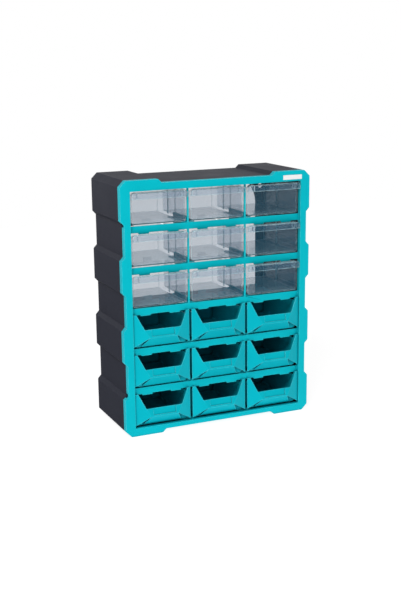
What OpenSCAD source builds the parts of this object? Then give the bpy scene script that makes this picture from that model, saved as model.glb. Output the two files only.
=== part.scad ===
// Parts bin cabinet: a stepped charcoal housing with a window in its back, a turquoise front
// frame, rails for the trays, nine clear drawers above and nine open-fronted bins below.
// Millimetres. +X is to the right seen from the front, +Y to the back, +Z up.

/* [Cabinet] */
// Width over the side pads
cabinet_w = 381; // [378:1:400]
// Height
cabinet_h = 475; // [474:1:490]
// Depth from the border's front face to the back
cabinet_d = 157; // [156:1:200]
// Wall of the housing
shell_wall = 2.2; // [1.6:0.1:2.6]
// How far the side, top and bottom recesses go in
step_depth = 6.5; // [4:0.5:7]
// Length of the slope between a pad and a recess
step_run = 7; // [4:0.5:9]
// Length of each side pad and of each side recess
side_pad = 58; // [50:1:62]
// Half the length of the recess in the top and the bottom
top_recess_half = 110.5; // [90:0.5:120]
// Chamfer of the four corners in the front view
corner_cut = 11; // [6:0.5:14]
// Half width of the window in the back wall
window_half = 155; // [140:1:160]
// Height of the rim above the window
window_rim = 19; // [16:1:40]
// Height of the window's lower edge
window_low = 226; // [160:1:250]
// Rounding of the window's upper corners
window_round = 60; // [20:1:70]

/* [Front frame] */
// Depth of the frame's skirt, where the housing starts
skirt_d = 12; // [10:0.5:16]
// Wall of the skirt
skirt_wall = 2.2; // [1.6:0.1:2.4]
// Thickness of the border's face
border_t = 2.4; // [1.6:0.1:3]
// Height of the border above the top row
border_top = 19.7; // [18:0.1:21]
// How far the bars and dividers lie behind the border's face
grid_y = 7.5; // [6:0.5:9]
// Thickness of the bars and dividers, front to back
grid_t = 2.5; // [2:0.1:3]
// Height of a bar between two rows
bar_h = 12.4; // [11:0.1:12.7]
// Width of a divider between two columns of drawers
divider_w = 3.6; // [3:0.1:5]
// How far the guide tabs hang below a bar
tab_drop = 2.3; // [1:0.1:2.5]
// Distance from the middle of a cell to a tab's inner end
tab_in = 18.5; // [14:0.5:20]
// Length of a tab
tab_len = 20.5; // [16:0.5:22]
// Height of the rails between the trays, above the bottom of the cell
rail_h = 10; // [6:0.5:14]
// Length of the rails behind the bars
rail_len = 64; // [60:1:120]
// Width of the ledges under the trays, which they slide on
ledge_w = 11.4; // [11:0.1:14]
// Height of the ledges above the bar
ledge_t = 2; // [1.6:0.1:2.5]
// Thickness of the guide ridges on the housing's side ledges
ridge_t = 2.4; // [1.6:0.1:3]

/* [Cells] */
// Clear width of a cell
cell_w = 111.9; // [110:0.1:112.5]
// Clear height of a cell
cell_h = 63; // [62:0.1:63.3]
// Clearance between pieces that slide or seat
gap = 0.3; // [0.2:0.05:0.5]

/* [Drawers and bins] */
// Depth of a drawer or bin from the plane of the drawers' front
tray_d = 135; // [110:1:137]
// Height of the side walls above the cell's bottom
tray_top = 56; // [48:0.5:57]
// Height of the stop ears above the cell's top edge
ear_over = 1.5; // [0.5:0.1:3]
// Distance from the middle to a stop ear's inner end
ear_in = 20; // [18:0.5:22]
// Length of a stop ear
ear_len = 16; // [10:0.5:18]

/* [Clear drawer] */
// Width of a clear drawer
drawer_w = 105; // [100:0.5:106]
// Wall of a clear drawer
drawer_wall = 1.8; // [1.4:0.1:2.2]
// Rounding of the drawer's long bottom edges
drawer_round = 4; // [2:0.5:6]
// Height of the pull band
pull_h = 11.8; // [9:0.1:14]
// How far the pull stands in front of the border's face
pull_out = 3; // [1:0.5:5]
// Width of the pull band
pull_w = 106.8; // [106:0.1:108]
// Rounding of the pull's upper corners
pull_round = 6; // [2:0.5:8]
// Wall of the pull
pull_wall = 1.6; // [1.2:0.1:2]
// Distance from the middle to the ribs inside the pull
pull_rib_x = 42; // [30:1:48]
// Place of the divider slots, counted from the drawer's front
slot_at = 78; // [50:1:100]
// Clear width of a divider slot
slot_w = 1.8; // [1.4:0.1:2.5]
// Thickness of the ribs that form a slot
slot_rib = 1.2; // [0.8:0.1:2]

/* [Open bin] */
// Width of the bin's body
bin_w = 103; // [100:0.5:104]
// Wall of the bin
bin_wall = 1.8; // [1.4:0.1:2.2]
// Rounding of the bin's long bottom edges
bin_round = 6; // [4:0.5:6.5]
// Width over the two wings of the bin's front
wing_w = 110.6; // [108:0.1:111]
// Depth of the wings' outer edges behind the border's face
wing_y = 2.8; // [2:0.1:4]
// How high the wings stand above the bottom of the cell
wing_top = 64.5; // [62:0.1:66]
// How high the wings' lower corners are
wing_low = 3.7; // [3:0.1:6]
// How far the lower edge of the front pane stands in front of the border's face
pane_out = 8; // [5:0.5:10]
// How far the pane leans back at its upper edge
pane_lean = 3.4; // [2:0.1:4]
// Height of the pane's lower edge
pane_low = 21.2; // [19:0.1:24]
// Height of the pane's upper edge, where the opening starts
pane_top = 36.2; // [34:0.1:40]
// Half width of the pane at its lower edge
pane_half = 26.7; // [24:0.1:29]
// Thickness of the pane
pane_t = 2.8; // [2.4:0.1:3.2]
// Half width of the opening's upper edge
mouth_half = 49.4; // [44:0.1:49.5]
// Rounding of the opening's lower corners
mouth_round = 4; // [2:0.5:6]
// Half width of the label recess in the pane
label_half = 22.5; // [18:0.5:23]
// Depth of the label recess
label_deep = 1.2; // [0.8:0.1:1.4]
// Height of the lip that holds a label's lower edge
label_lip = 2.8; // [2:0.1:4]
// Half width of the chute below the pane, at the bin's bottom
chute_half = 39; // [36:0.5:40]

/* [Snap lugs, hangers and label] */
// Height of the upper lugs above the cabinet's middle, and of the lower ones below it
lug_z = 158.5; // [150:0.5:158.5]
// Height of a lug
lug_h = 6.5; // [5:0.5:7]
// Length of a lug, front to back
lug_len = 6; // [4:0.5:7]
// How far a lug stands out of the recess
lug_out = 3; // [1:0.5:4]
// Distance of the keyhole hangers from the middle
hanger_x = 165; // [160:0.5:168]
// Height of the keyholes' screw seats
hanger_z = 440; // [430:1:444]
// Radius of a keyhole's slot
hanger_slot_r = 2.4; // [2:0.1:3]
// Radius of a keyhole's entry hole
hanger_entry_r = 4.6; // [4:0.1:6]
// Distance from the entry hole up to the screw seat
hanger_drop = 10; // [8:0.5:14]
// Width of the blank label on the border
plate_w = 39.5; // [30:0.1:45]
// Height of the blank label
plate_h = 8.6; // [7:0.1:12]
// Thickness of the blank label
plate_t = 0.3; // [0.2:0.05:0.6]
// Distance from the middle to the label's centre
plate_x = 153.8; // [140:0.1:160]
// Height of the label's lower edge above the frame's opening
plate_low = 3.5; // [2:0.1:6]

/* [Hidden] */
ROWS = 6;
COLUMNS = 3;
CLEAR_ROWS = 3;
COLUMN_NAMES = ["left", "centre", "right"];
RAIL_NAMES = [for (row = [1:ROWS]) str("rails_row", row)];
DRAWER_NAMES = [for (row = [1:CLEAR_ROWS], column = COLUMN_NAMES) str("drawer_row", row, "_", column)];
BIN_NAMES = [for (row = [CLEAR_ROWS + 1:ROWS], column = COLUMN_NAMES) str("bin_row", row, "_", column)];
CABINET_NAMES = ["housing", "side_ledges_left", "side_ledges_right", "front_frame", "label_plate"];

$fn = 48;
over = 1;

charcoal = [0.22, 0.22, 0.24];
turquoise = [0.04, 0.72, 0.80];
clear = [0.72, 0.80, 0.86, 0.35];

// The grid of cells
cell_pitch_x = cell_w + divider_w;
cell_pitch_z = cell_h + bar_h;
opening_w = COLUMNS * cell_w + (COLUMNS - 1) * divider_w;
opening_h = ROWS * cell_h + (ROWS - 1) * bar_h;
opening_top = cabinet_h - border_top;
opening_bottom = opening_top - opening_h;
function column_x(column) = (column - (COLUMNS - 1) / 2) * cell_pitch_x;
function cell_bottom(row) = opening_top - cell_h - (row - 1) * cell_pitch_z;

// Front and back of the layers, counted from the border's face
grid_back = grid_y + grid_t;
tray_y = grid_y - 0.5;
tray_back = tray_y + tray_d;
back_wall_y = cabinet_d - shell_wall;
bin_body_y = grid_back - 1;

// The housing's tongue lies inside the frame's skirt
tongue_inset = skirt_wall + gap;
tongue_in = tongue_inset + shell_wall;
tongue_y = border_t + 2;
shoulder_d = 4;

// The trays stand on the rails' ledges, under the tabs
tray_floor = ledge_t + gap;
tray_limit = cell_h - tab_drop - gap;

// Under the bottom row the rails end above the housing's tongue
sill_h = opening_bottom - step_depth - tongue_in - gap;

// The slope of the steps, used to keep the walls even
step_mitre = tan(atan(step_depth / step_run) / 2);
chamfer_mitre = 2 - sqrt(2);

// The bin's wings are upright planes from the outer edges to the pane
wing_angle = atan((wing_y + pane_out) / (wing_w / 2 - pane_half));
wing_rise = (pane_low - wing_low) / (wing_w / 2 - pane_half);
pane_slope = pane_lean / (pane_top - pane_low);
pane_half_top = pane_half + pane_lean / tan(wing_angle);
chute_spread = (chute_half - pane_half) / (pane_low - tray_floor);
chute_slope = (bin_body_y - gap + pane_out) / (pane_low - tray_floor);

// The origin is under the middle of the whole box, the bins' panes included
origin_y = (cabinet_d - pane_out) / 2;

// ---- helpers ----

// A front view profile, from y = front over a length to the back
module slab(front, length)
    translate([0, front + length, 0])
        rotate([90, 0, 0])
            linear_extrude(length)
                children();

// A side view profile in Y and Z, as wide as given, centred on X
module across(width)
    translate([-width / 2, 0, 0])
        rotate([90, 0, 90])
            linear_extrude(width)
                children();

// Both sides of what is drawn on the right
module both_sides() {
    children();
    mirror([1, 0, 0])
        children();
}

// One step notch in the right hand edge, centred on the X axis
module edge_notch(half_length, inset) {
    half = half_length + inset * step_mitre;
    reach = step_depth + over;
    polygon([
        [-step_depth, -half],
        [over, -half - reach * step_run / step_depth],
        [over, half + reach * step_run / step_depth],
        [-step_depth, half]
    ]);
}

// The cabinet's stepped outline in the front view, moved in by an inset
module outline(inset) {
    half_w = cabinet_w / 2 - inset;
    half_h = cabinet_h / 2 - inset;
    cut = corner_cut - inset * chamfer_mitre;
    side_period = 2 * (side_pad + step_run);
    translate([0, cabinet_h / 2])
        difference() {
            polygon([
                [half_w - cut, -half_h],
                [half_w, -half_h + cut],
                [half_w, half_h - cut],
                [half_w - cut, half_h],
                [cut - half_w, half_h],
                [-half_w, half_h - cut],
                [-half_w, cut - half_h],
                [cut - half_w, -half_h]
            ]);
            for (side = [0, 180], step = [-1:1])
                rotate(side)
                    translate([half_w, step * side_period])
                        edge_notch(side_pad / 2, inset);
            for (side = [90, 270])
                rotate(side)
                    translate([half_h, 0])
                        edge_notch(top_recess_half, inset);
        }
}

// The rectangle of the frame's opening, moved out by a wall
module opening(wall)
    translate([-opening_w / 2 - wall, opening_bottom - wall])
        square([opening_w + 2 * wall, opening_h + 2 * wall]);

// A rectangle in the front view with round upper corners
module round_top(width, radius, low, high) {
    translate([-width / 2, low])
        square([width, high - low - radius]);
    translate([radius - width / 2, low])
        square([width - 2 * radius, high - low]);
    for (side = [-1, 1])
        translate([side * (width / 2 - radius), high - radius])
            circle(radius);
}

// Places one tray in its cell
module in_cell(row, column)
    translate([column_x(column), 0, cell_bottom(row)])
        children();

// Moves the cabinet from its front face to the part's origin
module place()
    translate([0, -origin_y, 0])
        children();

// ---- housing ----

module keyhole()
    slab(back_wall_y - over, shell_wall + 2 * over)
        union() {
            circle(hanger_slot_r);
            translate([-hanger_slot_r, -hanger_drop])
                square([2 * hanger_slot_r, hanger_drop]);
            translate([0, -hanger_drop])
                circle(hanger_entry_r);
        }

// The window in the back wall behind the clear drawers, which their light comes through
module window()
    slab(back_wall_y - over, shell_wall + 2 * over)
        round_top(2 * window_half, window_round, window_low, cabinet_h - window_rim, $fn = 96);

module lugs()
    both_sides()
        for (z = [cabinet_h / 2 - lug_z, cabinet_h / 2 + lug_z])
            translate([cabinet_w / 2 - step_depth - tongue_in, skirt_d - lug_len - gap, z - lug_h / 2])
                cube([tongue_in + lug_out, lug_len, lug_h]);

module housing()
    color(charcoal)
        place()
            difference() {
                union() {
                    difference() {
                        slab(skirt_d, cabinet_d - skirt_d)
                            outline(0);
                        slab(skirt_d - over, back_wall_y - skirt_d + over)
                            outline(shell_wall);
                    }
                    difference() {
                        union() {
                            slab(skirt_d, shoulder_d)
                                outline(0);
                            slab(tongue_y, skirt_d - tongue_y + over)
                                outline(tongue_inset);
                        }
                        slab(0, skirt_d + shoulder_d + over)
                            outline(tongue_in);
                    }
                    lugs();
                }
                window();
                both_sides()
                    translate([hanger_x, 0, hanger_z])
                        keyhole();
            }

// Six ledges on the housing's right wall for the outer trays, each with a ridge beside the tray
module side_ledges()
    color(charcoal)
        place()
            slab(skirt_d + shoulder_d, back_wall_y - skirt_d - shoulder_d)
                intersection() {
                    outline(shell_wall);
                    for (row = [1:ROWS])
                        translate([opening_w / 2, cell_bottom(row)]) {
                            translate([-ledge_w, 0])
                                square([ledge_w + cabinet_w, ledge_t]);
                            square([ridge_t, rail_h]);
                        }
                }

// ---- front frame ----

module bar(row) {
    z = cell_bottom(row);
    translate([-opening_w / 2 - over, grid_y, z - bar_h])
        cube([opening_w + 2 * over, grid_t, bar_h]);
    for (column = [0:COLUMNS - 1], side = [-1, 1])
        translate([column_x(column) + side * (tab_in + tab_len / 2) - tab_len / 2, grid_y, z - bar_h - tab_drop])
            cube([tab_len, grid_t, tab_drop + over]);
}

module dividers()
    for (column = [1:COLUMNS - 1])
        translate([column_x(column) - cell_pitch_x / 2 - divider_w / 2, grid_y, cell_bottom(CLEAR_ROWS) - over])
            cube([divider_w, grid_t, opening_top - cell_bottom(CLEAR_ROWS) + 2 * over]);

module front_frame()
    color(turquoise)
        place()
            difference() {
                union() {
                    difference() {
                        slab(0, skirt_d)
                            outline(0);
                        slab(border_t, skirt_d)
                            outline(skirt_wall);
                    }
                    slab(0, grid_back)
                        opening(skirt_wall);
                }
                difference() {
                    slab(-over, grid_back + 2 * over)
                        opening(0);
                    for (row = [1:ROWS - 1])
                        bar(row);
                    dividers();
                }
                both_sides()
                    for (z = [cabinet_h / 2 - lug_z, cabinet_h / 2 + lug_z])
                        translate([
                            cabinet_w / 2 - step_depth - over - skirt_wall,
                            skirt_d - lug_len - 2 * gap,
                            z - lug_h / 2 - gap
                        ])
                            cube([step_depth + skirt_wall + 2 * over, lug_len + 2 * gap + over, lug_h + 2 * gap]);
            }

// ---- rails ----

// One rail in the front view: a web between two trays with a ledge under each of them
module rail_view(drop) {
    translate([-divider_w / 2, -drop])
        square([divider_w, drop + rail_h]);
    translate([-divider_w / 2 - ledge_w, 0])
        square([divider_w + 2 * ledge_w, ledge_t]);
}

// The two rails of one row, on the back of its bar
module rails(row)
    color(turquoise)
        place()
            for (line = [1:COLUMNS - 1])
                translate([(line - COLUMNS / 2) * cell_pitch_x, 0, cell_bottom(row)])
                    slab(grid_back, rail_len)
                        rail_view(row < ROWS ? bar_h : sill_h);

// ---- blank label on the border ----

module label_plate()
    color("white")
        place()
            translate([plate_x - plate_w / 2, -plate_t, opening_top + plate_low])
                cube([plate_w, plate_t, plate_h]);

// ---- what both kinds of tray share ----

// Two ears on the back wall, which meet the bar's back when the tray is pulled out
module stop_ears(wall)
    both_sides()
        translate([ear_in, tray_back - wall, tray_top - over])
            cube([ear_len, wall, cell_h + ear_over - tray_top + over]);

// Upright U section of a tray, with round lower edges, from the floor to the side walls' top
module tray_section(width, radius, floor_z, top_z) {
    translate([-width / 2, floor_z + radius])
        square([width, top_z - floor_z - radius]);
    translate([radius - width / 2, floor_z])
        square([width - 2 * radius, radius + over]);
    for (side = [-1, 1])
        translate([side * (width / 2 - radius), floor_z + radius])
            circle(radius);
}

// ---- clear drawer ----

module drawer_slots()
    both_sides()
        for (side = [-1, 1])
            translate([
                drawer_w / 2 - drawer_wall - slot_rib,
                tray_y + slot_at + side * (slot_w + slot_rib) / 2 - slot_rib / 2,
                tray_floor + drawer_round
            ])
                cube([slot_rib + drawer_wall / 2, slot_rib, tray_top - tray_floor - 2 * drawer_round]);

module drawer_pull() {
    low = tray_limit - pull_h;
    reach = pull_out + tray_y;
    difference() {
        slab(-pull_out, reach + drawer_wall)
            round_top(pull_w, pull_round, low, tray_limit);
        slab(pull_wall - pull_out, reach - pull_wall)
            round_top(pull_w - 2 * pull_wall, pull_round - pull_wall, low - over, tray_limit - pull_wall);
        slab(tray_y - over / 2, drawer_wall + over)
            translate([-pull_w, low - over])
                square([2 * pull_w, over]);
    }
    both_sides()
        translate([pull_rib_x, -pull_out + pull_wall / 2, low + over])
            cube([slot_rib, reach, pull_h - 2 * over]);
}

module clear_drawer(row, column)
    color(clear)
        place()
            in_cell(row, column) {
                difference() {
                    slab(tray_y, tray_d)
                        tray_section(drawer_w, drawer_round, tray_floor, tray_top);
                    slab(tray_y + drawer_wall, tray_d - 2 * drawer_wall)
                        tray_section(
                            drawer_w - 2 * drawer_wall,
                            drawer_round - drawer_wall,
                            tray_floor + drawer_wall,
                            tray_top + over
                        );
                }
                drawer_pull();
                drawer_slots();
                stop_ears(drawer_wall);
            }

// ---- open bin ----

// How far forward the wings reach at a distance from the middle, moved back by a wall
function wing_front(x, wall) = (x - pane_half) * tan(wing_angle) - pane_out + wall / cos(wing_angle);

// Plan of the front: two straight wings, cut off square where the pane is
module front_plan(wall, half_w, back) {
    half_back = bin_w / 2 - wall;
    reach = wing_front(pane_half, wall);
    polygon([
        [-half_back, back],
        [-half_w, wing_front(half_w, wall)],
        [-pane_half, reach],
        [pane_half, reach],
        [half_w, wing_front(half_w, wall)],
        [half_back, back]
    ]);
}

// Side view of the leaning pane, and of the upright wings above it
module pane_side(wall, back)
    polygon([
        [wall - pane_out, tray_floor],
        [wall - pane_out, pane_low],
        [wall - pane_out + pane_lean, pane_top],
        [wall - pane_out + pane_lean, wing_top + over],
        [back, wing_top + over],
        [back, tray_floor]
    ]);

// Front view of the two wings and the pane: their lower edges rise towards the pane
module wings_view(half_w, wall, middle) {
    lift = wall * sqrt(1 + wing_rise * wing_rise);
    low = pane_low + lift - (half_w - pane_half) * wing_rise;
    polygon([
        [-half_w, wing_top + wall],
        [-half_w, low],
        [-pane_half, pane_low + lift],
        [-middle, pane_low],
        [middle, pane_low],
        [pane_half, pane_low + lift],
        [half_w, low],
        [half_w, wing_top + wall]
    ]);
}

// The bin's upper front, solid: three profiles cut each other
module hopper_top(wall, pane, half_w, back, middle)
    intersection() {
        translate([0, 0, tray_floor])
            linear_extrude(wing_top - tray_floor + wall)
                front_plan(wall, half_w, back);
        across(wing_w + over)
            pane_side(pane, back);
        slab(-pane_out - over, back + pane_out + over)
            wings_view(half_w, wall, middle);
    }

// The chute below the pane, solid: it slopes back to the bin's floor and widens downwards
module chute(wall, pane, floor_z, back, rise) {
    narrow = wall * sqrt(1 + chute_spread * chute_spread);
    set_back = wall * sqrt(1 + chute_slope * chute_slope);
    drop = pane_low - floor_z;
    intersection() {
        slab(-pane_out - over, back + pane_out + over)
            polygon([
                [-pane_half - drop * chute_spread + narrow, floor_z],
                [pane_half + drop * chute_spread - narrow, floor_z],
                [pane_half - rise * chute_spread - narrow, pane_low + rise],
                [-pane_half + rise * chute_spread + narrow, pane_low + rise]
            ]);
        across(2 * chute_half + over)
            polygon([
                [set_back - pane_out + drop * chute_slope, floor_z],
                [set_back - pane_out - rise * chute_slope, pane_low + rise],
                [back, pane_low + rise],
                [back, floor_z]
            ]);
        across(2 * chute_half + over)
            polygon([
                [pane - pane_out, floor_z],
                [pane - pane_out, pane_low],
                [pane - pane_out + rise * pane_slope, pane_low + rise],
                [back, pane_low + rise],
                [back, floor_z]
            ]);
    }
}

// The mouth between the wings, with round lower corners
module mouth()
    slab(-pane_out - over, pane_out + bin_body_y + over)
        hull() {
            for (side = [-1, 1])
                translate([side * (pane_half_top - mouth_round * tan(wing_mouth_angle)), pane_top + mouth_round])
                    circle(mouth_round, $fn = 32);
            translate([-mouth_half, wing_top])
                square([2 * mouth_half, over]);
        }

wing_mouth_angle = 45 - atan((mouth_half - pane_half_top) / (wing_top - pane_top)) / 2;

module label_recess()
    translate([0, -pane_out, pane_low])
        rotate([-atan(pane_slope), 0, 0])
            translate([-label_half, -over, label_lip])
                cube([2 * label_half, label_deep + over, pane_top - pane_low + over]);

module open_bin(row, column)
    color(turquoise)
        place()
            in_cell(row, column) {
                difference() {
                    union() {
                        slab(bin_body_y, tray_back - bin_body_y)
                            tray_section(bin_w, bin_round, tray_floor, tray_top);
                        difference() {
                            hopper_top(0, 0, wing_w / 2, bin_body_y + bin_wall, pane_half);
                            translate([-cell_w / 2, grid_y - gap, tray_limit])
                                cube([cell_w, cabinet_d, cell_h]);
                        }
                        chute(0, 0, tray_floor, bin_body_y + bin_wall, 0);
                    }
                    slab(bin_body_y + bin_wall, tray_back - bin_body_y - 2 * bin_wall)
                        tray_section(
                            bin_w - 2 * bin_wall,
                            bin_round - bin_wall,
                            tray_floor + bin_wall,
                            wing_top + over
                        );
                    hopper_top(
                        bin_wall, pane_t, bin_w / 2 - bin_wall, bin_body_y + bin_wall + over,
                        pane_half - bin_wall * sqrt(1 + chute_spread * chute_spread)
                    );
                    chute(bin_wall, pane_t, tray_floor + bin_wall, bin_body_y + bin_wall + over, over);
                    mouth();
                    label_recess();
                }
                stop_ears(bin_wall);
            }

// ---- the nodes ----

housing();
mirror([1, 0, 0]) side_ledges();  // side_ledges_left
side_ledges();  // side_ledges_right
front_frame();
label_plate();
for (row = [1:ROWS])
    rails(row);
for (row = [1:CLEAR_ROWS], column = [0:COLUMNS - 1])
    clear_drawer(row, column);
for (row = [CLEAR_ROWS + 1:ROWS], column = [0:COLUMNS - 1])
    open_bin(row, column);
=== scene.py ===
"""Parts bin cabinet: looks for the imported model.

The moulded pieces keep their solids. Each gets softened edges and its own plastic.
Metres, +X to the right seen from the front, +Y to the back, +Z up.
"""

import math

import bpy
import numpy as np
from mathutils import Matrix

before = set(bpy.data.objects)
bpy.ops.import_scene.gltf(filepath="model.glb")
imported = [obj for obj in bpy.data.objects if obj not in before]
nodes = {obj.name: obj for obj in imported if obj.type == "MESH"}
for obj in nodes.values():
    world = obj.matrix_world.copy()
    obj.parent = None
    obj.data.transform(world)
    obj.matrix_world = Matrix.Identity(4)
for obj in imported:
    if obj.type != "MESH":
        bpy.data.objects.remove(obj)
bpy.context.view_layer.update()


def named(*starts):
    """Names of the cabinet's pieces that begin with one of the given words."""
    return sorted(n for n in nodes if n.startswith(starts))


HOUSING = named("housing", "side_ledges")
FRAME = named("front_frame", "rails_")
LABEL = named("label_plate")
DRAWERS = named("drawer_")
BINS = named("bin_")


# ---- node helpers ----
# A value inside a node tree is passed on as a pair: a node and the name or number of its output.

def add(tree, kind, inputs=None, **properties):
    """Adds a node, with its properties and with values for its sockets."""
    made = tree.nodes.new(kind)
    for key, value in properties.items():
        setattr(made, key, value)
    for socket, value in (inputs or {}).items():
        made.inputs[socket].default_value = value
    return made


def join(tree, source, target, socket):
    """Links a pair to a socket of the target node."""
    node, output = source
    tree.links.new(node.outputs[output], target.inputs[socket])


def worked_out(tree, operation, *values):
    """The pair of a Math node. Each value is a pair or a plain number."""
    made = add(tree, "ShaderNodeMath", operation=operation)
    for socket, value in enumerate(values):
        if isinstance(value, tuple):
            join(tree, value, made, socket)
        else:
            made.inputs[socket].default_value = value
    return made, "Value"


def stretched(tree, source, start, end, low=0.0, high=1.0):
    """The pair of a Map Range node: start to end becomes low to high, and what lies outside is cut off."""
    made = add(tree, "ShaderNodeMapRange", inputs={
        "From Min": start, "From Max": end, "To Min": low, "To Max": high})
    join(tree, source, made, "Value")
    return made, "Result"


# Sockets of a Mix node that mixes colours: the two colours and the result
MIX_A, MIX_B, MIX_COLOUR = 6, 7, 2


def blended(tree, share, first, second):
    """The pair of a Mix node for colours. The first is a pair or three numbers, the second three numbers."""
    made = add(tree, "ShaderNodeMix", data_type="RGBA", inputs={MIX_B: (*second, 1)})
    join(tree, share, made, "Factor")
    if len(first) == 3:
        made.inputs[MIX_A].default_value = (*first, 1)
    else:
        join(tree, first, made, MIX_A)
    return made, MIX_COLOUR


def mixed_shader(tree, share, first, second):
    """The pair of a Mix Shader node, which goes from the first shader to the second."""
    made = add(tree, "ShaderNodeMixShader")
    for socket, source in enumerate((share, first, second)):
        join(tree, source, made, socket)
    return made, "Shader"


def noise(tree, scale, detail, roughness):
    """The pair of a noise on the piece's Object coordinates. Its scale is a pair."""
    place = add(tree, "ShaderNodeTexCoord")
    made = add(tree, "ShaderNodeTexNoise", inputs={"Detail": detail, "Roughness": roughness})
    join(tree, (place, "Object"), made, "Vector")
    join(tree, scale, made, "Scale")
    return made, "Fac"


def new_group(name, sockets_in, sockets_out):
    """A shader node group that takes named numbers, with their usual values, and puts out named masks."""
    group = bpy.data.node_groups.new(name, "ShaderNodeTree")
    for socket, default in sockets_in.items():
        made = group.interface.new_socket(socket, in_out="INPUT", socket_type="NodeSocketFloat")
        made.default_value = default
    for socket in sockets_out:
        group.interface.new_socket(socket, in_out="OUTPUT", socket_type="NodeSocketFloat")
    return group, group.nodes.new("NodeGroupInput"), group.nodes.new("NodeGroupOutput")


def place_group(tree, group, **inputs):
    """Places a group in a material. grain_scale sets its input Grain scale, and so on."""
    made = tree.nodes.new("ShaderNodeGroup")
    made.node_tree = group
    for key, value in inputs.items():
        made.inputs[key.replace("_", " ").capitalize()].default_value = value
    return made


# ---- effects that the plastics share ----

def mould_grain_group():
    """Fine eroded grain of a mould: two sizes of noise, put out as a height and a slow mottle."""
    group, given, out = new_group(
        "mould_grain", {"Grain scale": 1500.0, "Mottle scale": 14.0}, ["Height", "Mottle"])
    join(group, noise(group, (given, "Grain scale"), detail=2.0, roughness=0.6), out, "Height")
    join(group, noise(group, (given, "Mottle scale"), detail=3.0, roughness=0.5), out, "Mottle")
    return group


def edge_wear_and_highlight_group():
    """Wear where hands rub the edges, with a painted highlight along them: how far the cosine between the
    true normal and the normal rounded over Width falls below one, times a noise that breaks it up."""
    group, given, out = new_group("edge_wear_and_highlight", {"Width": 0.0012, "Break up": 180.0}, ["Edge"])
    rounded = add(group, "ShaderNodeBevel", samples=6)
    join(group, (given, "Width"), rounded, "Radius")
    surface = add(group, "ShaderNodeNewGeometry")
    cosine = add(group, "ShaderNodeVectorMath", operation="DOT_PRODUCT")
    join(group, (rounded, "Normal"), cosine, 0)
    join(group, (surface, "True Normal"), cosine, 1)
    bend = stretched(group, (cosine, "Value"), 0.995, 0.9)
    broken = noise(group, (given, "Break up"), detail=3.0, roughness=0.5)
    patches = stretched(group, broken, 0.35, 0.65, 0.3, 1.0)
    join(group, worked_out(group, "MULTIPLY", bend, patches), out, "Edge")
    return group


def corner_shade_group():
    """Painted shade where walls close in: how far the open share of the half space within Reach falls below
    one.
    """
    group, given, out = new_group("painted_corner_shade", {"Reach": 0.007}, ["Shade"])
    open_share = add(group, "ShaderNodeAmbientOcclusion", samples=8)
    join(group, (given, "Reach"), open_share, "Distance")
    join(group, stretched(group, (open_share, "AO"), 0.88, 0.3), out, "Shade")
    return group


MOULD_GRAIN = mould_grain_group()
EDGE_WEAR_AND_HIGHLIGHT = edge_wear_and_highlight_group()
CORNER_SHADE = corner_shade_group()

# The stretch of the mottle's noise that is used, and the depth of the grain
MOTTLE_LOW, MOTTLE_HIGH = 0.3, 0.7
GRAIN_DEPTH = 0.0002


def blank_material(name):
    """A new material, its tree, and the output node, which is all that the tree holds yet."""
    made = bpy.data.materials.new(name)
    made.use_nodes = True
    made.node_tree.nodes.clear()
    return made, made.node_tree, add(made.node_tree, "ShaderNodeOutputMaterial")


def moulded_finish(tree, shader, grain, rough, bump):
    """Roughness that wanders between the two values of rough with the mottle, and the grain as relief."""
    wander = stretched(tree, (grain, "Mottle"), MOTTLE_LOW, MOTTLE_HIGH, *rough)
    join(tree, wander, shader, "Roughness")
    relief = add(tree, "ShaderNodeBump", inputs={"Strength": bump, "Distance": GRAIN_DEPTH})
    join(tree, (grain, "Height"), relief, "Height")
    join(tree, (relief, "Normal"), shader, "Normal")


# ---- the plastics ----

def opaque_plastic(name, colour, pale, wear_and_highlight, painted_shade, rough, bump, grain_scale, specular, sheen=(1, 1, 1)):
    """Moulded plastic: mottled from its colour to pale, with wear and a painted highlight on edges, painted
    shade in corners, grained.
    """
    made, tree, out = blank_material(name)
    shader = add(tree, "ShaderNodeBsdfPrincipled", inputs={
        "Specular IOR Level": specular, "IOR": 1.5, "Specular Tint": (*sheen, 1)})
    grain = place_group(tree, MOULD_GRAIN, grain_scale=grain_scale)
    mottle = stretched(tree, (grain, "Mottle"), MOTTLE_LOW, MOTTLE_HIGH)
    mottled = blended(tree, mottle, colour, pale)
    # Edges get lighter: wear, and a painted highlight along them
    edge = place_group(tree, EDGE_WEAR_AND_HIGHLIGHT)
    wear_and_highlight_colour = blended(tree, (edge, "Edge"), mottled, wear_and_highlight)
    # Painted shade: the colour goes darker in corners and hollows, the more closed in they are
    corner = place_group(tree, CORNER_SHADE)
    join(tree, blended(tree, (corner, "Shade"), wear_and_highlight_colour, painted_shade), shader, "Base Color")
    moulded_finish(tree, shader, grain, rough, bump)
    join(tree, (shader, "BSDF"), out, "Surface")
    return made


# The mark on a face that looks up, from scuffs and dust and from painted light, where an edge gets 1
SCUFF_AND_LIGHT = 0.26
# The upward part of a face's normal at which these marks begin, and at which they are full
SCUFF_AND_LIGHT_BEGINS, SCUFF_AND_LIGHT_FULL = 0.8, 0.98
# The haze's share of a wall without marks, and of one whose marks reach 1
HAZE_THIN, HAZE_THICK = 0.04, 0.7


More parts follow.
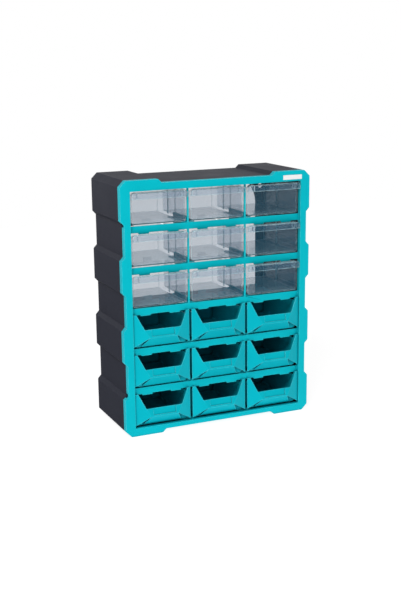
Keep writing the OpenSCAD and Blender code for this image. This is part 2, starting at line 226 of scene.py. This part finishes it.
def clear_plastic(name):
    """Clear moulded plastic: thin grey walls with a polished coat under a faint blue haze, which turns
    thick and pale on the edges and on the faces that look up: wear, scuffs and dust, and a painted
    highlight."""
    made, tree, out = blank_material(name)
    wall = add(tree, "ShaderNodeBsdfPrincipled", inputs={
        "IOR": 1.03, "Transmission Weight": 1.0, "Metallic": 0.0,
        "Coat Weight": 0.55, "Coat IOR": 1.45, "Coat Roughness": 0.04})
    grain = place_group(tree, MOULD_GRAIN, grain_scale=60.0, mottle_scale=9.0)
    tint = blended(tree, (grain, "Mottle"), (0.855, 0.865, 0.89), (0.885, 0.892, 0.91))
    join(tree, tint, wall, "Base Color")
    moulded_finish(tree, wall, grain, rough=(0.02, 0.06), bump=0.06)

    # Edges and faces that look up turn pale: wear, scuffs and dust, and a painted highlight
    edge = place_group(tree, EDGE_WEAR_AND_HIGHLIGHT, width=0.0015)
    surface = add(tree, "ShaderNodeNewGeometry")
    facing = add(tree, "ShaderNodeSeparateXYZ")
    join(tree, (surface, "True Normal"), facing, "Vector")
    scuffs_and_light = stretched(tree, (facing, "Z"), SCUFF_AND_LIGHT_BEGINS, SCUFF_AND_LIGHT_FULL, 0.0, SCUFF_AND_LIGHT)
    marks_and_light = worked_out(tree, "MAXIMUM", (edge, "Edge"), scuffs_and_light)
    marks_and_light_share = stretched(tree, marks_and_light, 0.0, SCUFF_AND_LIGHT)
    haze = add(tree, "ShaderNodeBsdfDiffuse")
    join(tree, blended(tree, marks_and_light_share, (0.01, 0.50, 0.88), (0.66, 0.92, 0.98)), haze, "Color")
    haze_share = stretched(tree, marks_and_light, 0.0, 1.0, HAZE_THIN, HAZE_THICK)
    hazy_wall = mixed_shader(tree, haze_share, (wall, "BSDF"), (haze, "BSDF"))

    # Shadow rays and rays from a dull surface go straight through the walls, dimmed far below a clear wall's
    # loss
    # and most at edges and faces that look up: painted shade on the bins and parts below
    dimmed = add(tree, "ShaderNodeBsdfTransparent")
    join(tree, blended(tree, marks_and_light_share, (0.67, 0.69, 0.71), (0.22, 0.25, 0.27)), dimmed, "Color")
    path = add(tree, "ShaderNodeLightPath")
    unseen = worked_out(tree, "MAXIMUM", (path, "Is Shadow Ray"), (path, "Is Diffuse Ray"))
    join(tree, mixed_shader(tree, unseen, hazy_wall, (dimmed, "BSDF")), out, "Surface")
    return made


TEAL_SHEEN = (0.05, 0.8, 1.0)
# For each plastic, the third colour is its edges with wear and a painted highlight, the fourth the painted
# shade in its corners
TURQUOISE = opaque_plastic(
    "turquoise_moulding",
    colour=(0.0015, 0.445, 0.525), pale=(0.002, 0.475, 0.555),
    wear_and_highlight=(0.10, 0.68, 0.76), painted_shade=(0.001, 0.31, 0.37),
    rough=(0.40, 0.48), bump=0.25, grain_scale=1500.0, specular=0.25, sheen=TEAL_SHEEN)
BIN_TURQUOISE = opaque_plastic(
    "turquoise_bin_moulding",
    colour=(0.0015, 0.41, 0.495), pale=(0.002, 0.44, 0.525),
    wear_and_highlight=(0.12, 0.72, 0.80), painted_shade=(0.001, 0.14, 0.18),
    rough=(0.36, 0.44), bump=0.2, grain_scale=1500.0, specular=0.25, sheen=TEAL_SHEEN)
CHARCOAL = opaque_plastic(
    "charcoal_moulding",
    colour=(0.018, 0.020, 0.033), pale=(0.022, 0.024, 0.037),
    wear_and_highlight=(0.05, 0.054, 0.076), painted_shade=(0.010, 0.011, 0.017),
    rough=(0.48, 0.58), bump=0.35, grain_scale=900.0, specular=0.14)
LABEL_WHITE = opaque_plastic(
    "blank_label_film",
    colour=(0.82, 0.82, 0.82), pale=(0.86, 0.86, 0.86),
    wear_and_highlight=(0.9, 0.9, 0.9), painted_shade=(0.6, 0.6, 0.6),
    rough=(0.35, 0.43), bump=0.05, grain_scale=700.0, specular=0.4)
CLEAR = clear_plastic("clear_moulding")


# ---- the mouldings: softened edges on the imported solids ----

# Corners closer than this are one, and edges that turn by more than this are rounded
WELD_DISTANCE = 2e-5
SHARP_ANGLE = math.radians(25.0)


def soften(node, width):
    """Joins the node's triangles and rounds the moulding's sharp edges."""
    weld = node.modifiers.new("weld", "WELD")
    weld.merge_threshold = WELD_DISTANCE
    bevel = node.modifiers.new("soft_edges", "BEVEL")
    bevel.width = width
    bevel.segments = 2
    bevel.limit_method = "ANGLE"
    bevel.angle_limit = SHARP_ANGLE
    bevel.miter_outer = "MITER_ARC"


def dress(names, plastic, edge_width):
    """Gives pieces their plastic and their soft edges."""
    for name in names:
        node = nodes[name]
        node.data.materials.clear()
        node.data.materials.append(plastic)
        soften(node, edge_width)


dress(HOUSING, CHARCOAL, edge_width=0.0006)
dress(FRAME, TURQUOISE, edge_width=0.0005)
dress(LABEL, LABEL_WHITE, edge_width=0.0001)
dress(DRAWERS, CLEAR, edge_width=0.0004)
dress(BINS, BIN_TURQUOISE, edge_width=0.0005)


# ---- floor and surroundings ----

WHITE = (1, 1, 1, 1)
# How bright the white background is through a clear wall, and in a gloss: of the floor and of the sky
SEEN_THROUGH = 0.77
FLOOR_MIRRORED = 0.05
SKY_MIRRORED = 0.68
# The sky's light on the object
SKY_LIGHT = 0.3
# Half the floor's side, and its height, just under the cabinet's end pads
FLOOR_HALF = 2.4
FLOOR_HEIGHT = -0.0002
# The floor's paint and the light that it gives off: first for the object, then where it is seen
FLOOR_PAINT, FLOOR_PAINT_SEEN = (0.8, 0.8, 0.8), (0.26, 0.26, 0.26)
FLOOR_LIFT, FLOOR_GLOW_SEEN = 0.9, 0.91


def background_seen(tree, through, mirrored):
    """How bright the background is: 1 for the camera, through for a ray from a clear wall, mirrored for
    one from a gloss, and 0 for any other and once light has scattered."""
    path = add(tree, "ShaderNodeLightPath")
    clear = worked_out(tree, "MULTIPLY", (path, "Is Transmission Ray"), through)
    gloss = worked_out(tree, "MULTIPLY_ADD", (path, "Is Glossy Ray"), mirrored, (path, "Is Camera Ray"))
    level = worked_out(tree, "MAXIMUM", clear, gloss)
    unscattered = worked_out(tree, "LESS_THAN", (path, "Diffuse Depth"), 0.5)
    return worked_out(tree, "MULTIPLY", level, unscattered)


def floor_white():
    """White floor: it throws light back on the object, and is seen as white with a faint shadow."""
    made, tree, out = blank_material("floor_white")
    path = add(tree, "ShaderNodeLightPath")
    sight = worked_out(tree, "MAXIMUM", (path, "Is Camera Ray"), (path, "Is Glossy Ray"))
    direct = worked_out(tree, "MAXIMUM", sight, (path, "Is Transmission Ray"))
    paint = add(tree, "ShaderNodeBsdfDiffuse")
    join(tree, blended(tree, direct, FLOOR_PAINT, FLOOR_PAINT_SEEN), paint, "Color")
    lift = stretched(tree, direct, 0.0, 1.0, FLOOR_LIFT, 0.0)
    seen = background_seen(tree, SEEN_THROUGH, FLOOR_MIRRORED)
    glow = add(tree, "ShaderNodeEmission", inputs={"Color": WHITE})
    join(tree, worked_out(tree, "MULTIPLY_ADD", seen, FLOOR_GLOW_SEEN, lift), glow, "Strength")
    both = add(tree, "ShaderNodeAddShader")
    join(tree, (paint, "BSDF"), both, 0)
    join(tree, (glow, "Emission"), both, 1)
    join(tree, (both, "Shader"), out, "Surface")
    return made


def place_in_scene(name, data):
    """An object of its own for a mesh, a lamp or a camera."""
    made = bpy.data.objects.new(name, data)
    bpy.context.scene.collection.objects.link(made)
    return made


def flat_piece(name, half_x, half_y, height):
    """A flat rectangle on the grid (u, v) in -1..1: (half_x u, half_y v, height)."""
    u, v = np.meshgrid([-1.0, 1.0], [-1.0, 1.0])
    points = np.stack([half_x * u, half_y * v, np.full(u.shape, height)], -1).reshape(-1, 3)
    mesh = bpy.data.meshes.new(name)
    mesh.from_pydata(points.tolist(), [], [(0, 1, 3, 2)])
    return place_in_scene(name, mesh)


def studio_world():
    """A sky that is seen as white and lights the object dimly from all sides."""
    world = bpy.data.worlds.new("studio")
    bpy.context.scene.world = world
    world.use_nodes = True
    tree = world.node_tree
    tree.nodes.clear()
    out = add(tree, "ShaderNodeOutputWorld")
    sky = add(tree, "ShaderNodeBackground", inputs={"Color": WHITE})
    seen = background_seen(tree, SEEN_THROUGH, SKY_MIRRORED)
    join(tree, worked_out(tree, "MAXIMUM", seen, SKY_LIGHT), sky, "Strength")
    join(tree, (sky, "Background"), out, "Surface")


floor = flat_piece("floor", FLOOR_HALF, FLOOR_HALF, FLOOR_HEIGHT)
floor.data.materials.append(floor_white())
studio_world()


# ---- lamp and camera ----

# The one lamp: its place, what it is turned to, its side, and its power in watts
KEY_PLACE = (-1.55, -1.75, 2.4)
KEY_AIM = (0.0, 0.0, 0.25)
KEY_SIZE = 1.1
KEY_POWER = 56

# The photograph's camera: its directions to the right, up and backwards, and its place
CAMERA_RIGHT = (0.91240158, -0.40916684, -0.0102888)
CAMERA_UP = (0.10334596, 0.20598239, 0.97308318)
CAMERA_BACK = (-0.39603406, -0.88890593, 0.2302244)
CAMERA_PLACE = (-0.80786, -1.80222, 0.69296)
# Its lens and sensor in millimetres
CAMERA_LENS = 62.87
CAMERA_SENSOR = 36.0


def pose(right, up, back, place):
    """The matrix whose columns are three directions and a place. A lamp or camera looks against back."""
    turn = np.eye(4)
    turn[:3] = np.stack([right, up, back, place], axis=1)
    return Matrix(turn.tolist())


def soft_lamp(name, place, aim, size, power):
    """A square lamp turned to its aim: right is +Z crossed with back, and up is back crossed with right."""
    lamp = bpy.data.lights.new(name, "AREA")
    lamp.shape = "SQUARE"
    lamp.size = size
    lamp.energy = power
    back = np.subtract(place, aim)
    back /= np.linalg.norm(back)
    right = np.cross([0.0, 0.0, 1.0], back)
    right /= np.linalg.norm(right)
    place_in_scene(name, lamp).matrix_world = pose(right, np.cross(back, right), back, place)


def photo_camera():
    """The camera that sees the cabinet as the photograph does."""
    camera = bpy.data.cameras.new("photo_camera")
    camera.sensor_width = CAMERA_SENSOR
    camera.sensor_fit = "AUTO"
    camera.lens = CAMERA_LENS
    made = place_in_scene("photo_camera", camera)
    made.matrix_world = pose(CAMERA_RIGHT, CAMERA_UP, CAMERA_BACK, CAMERA_PLACE)
    return made


soft_lamp("key", KEY_PLACE, KEY_AIM, KEY_SIZE, KEY_POWER)
bpy.context.scene.camera = photo_camera()
bpy.context.scene.view_settings.view_transform = "Standard"
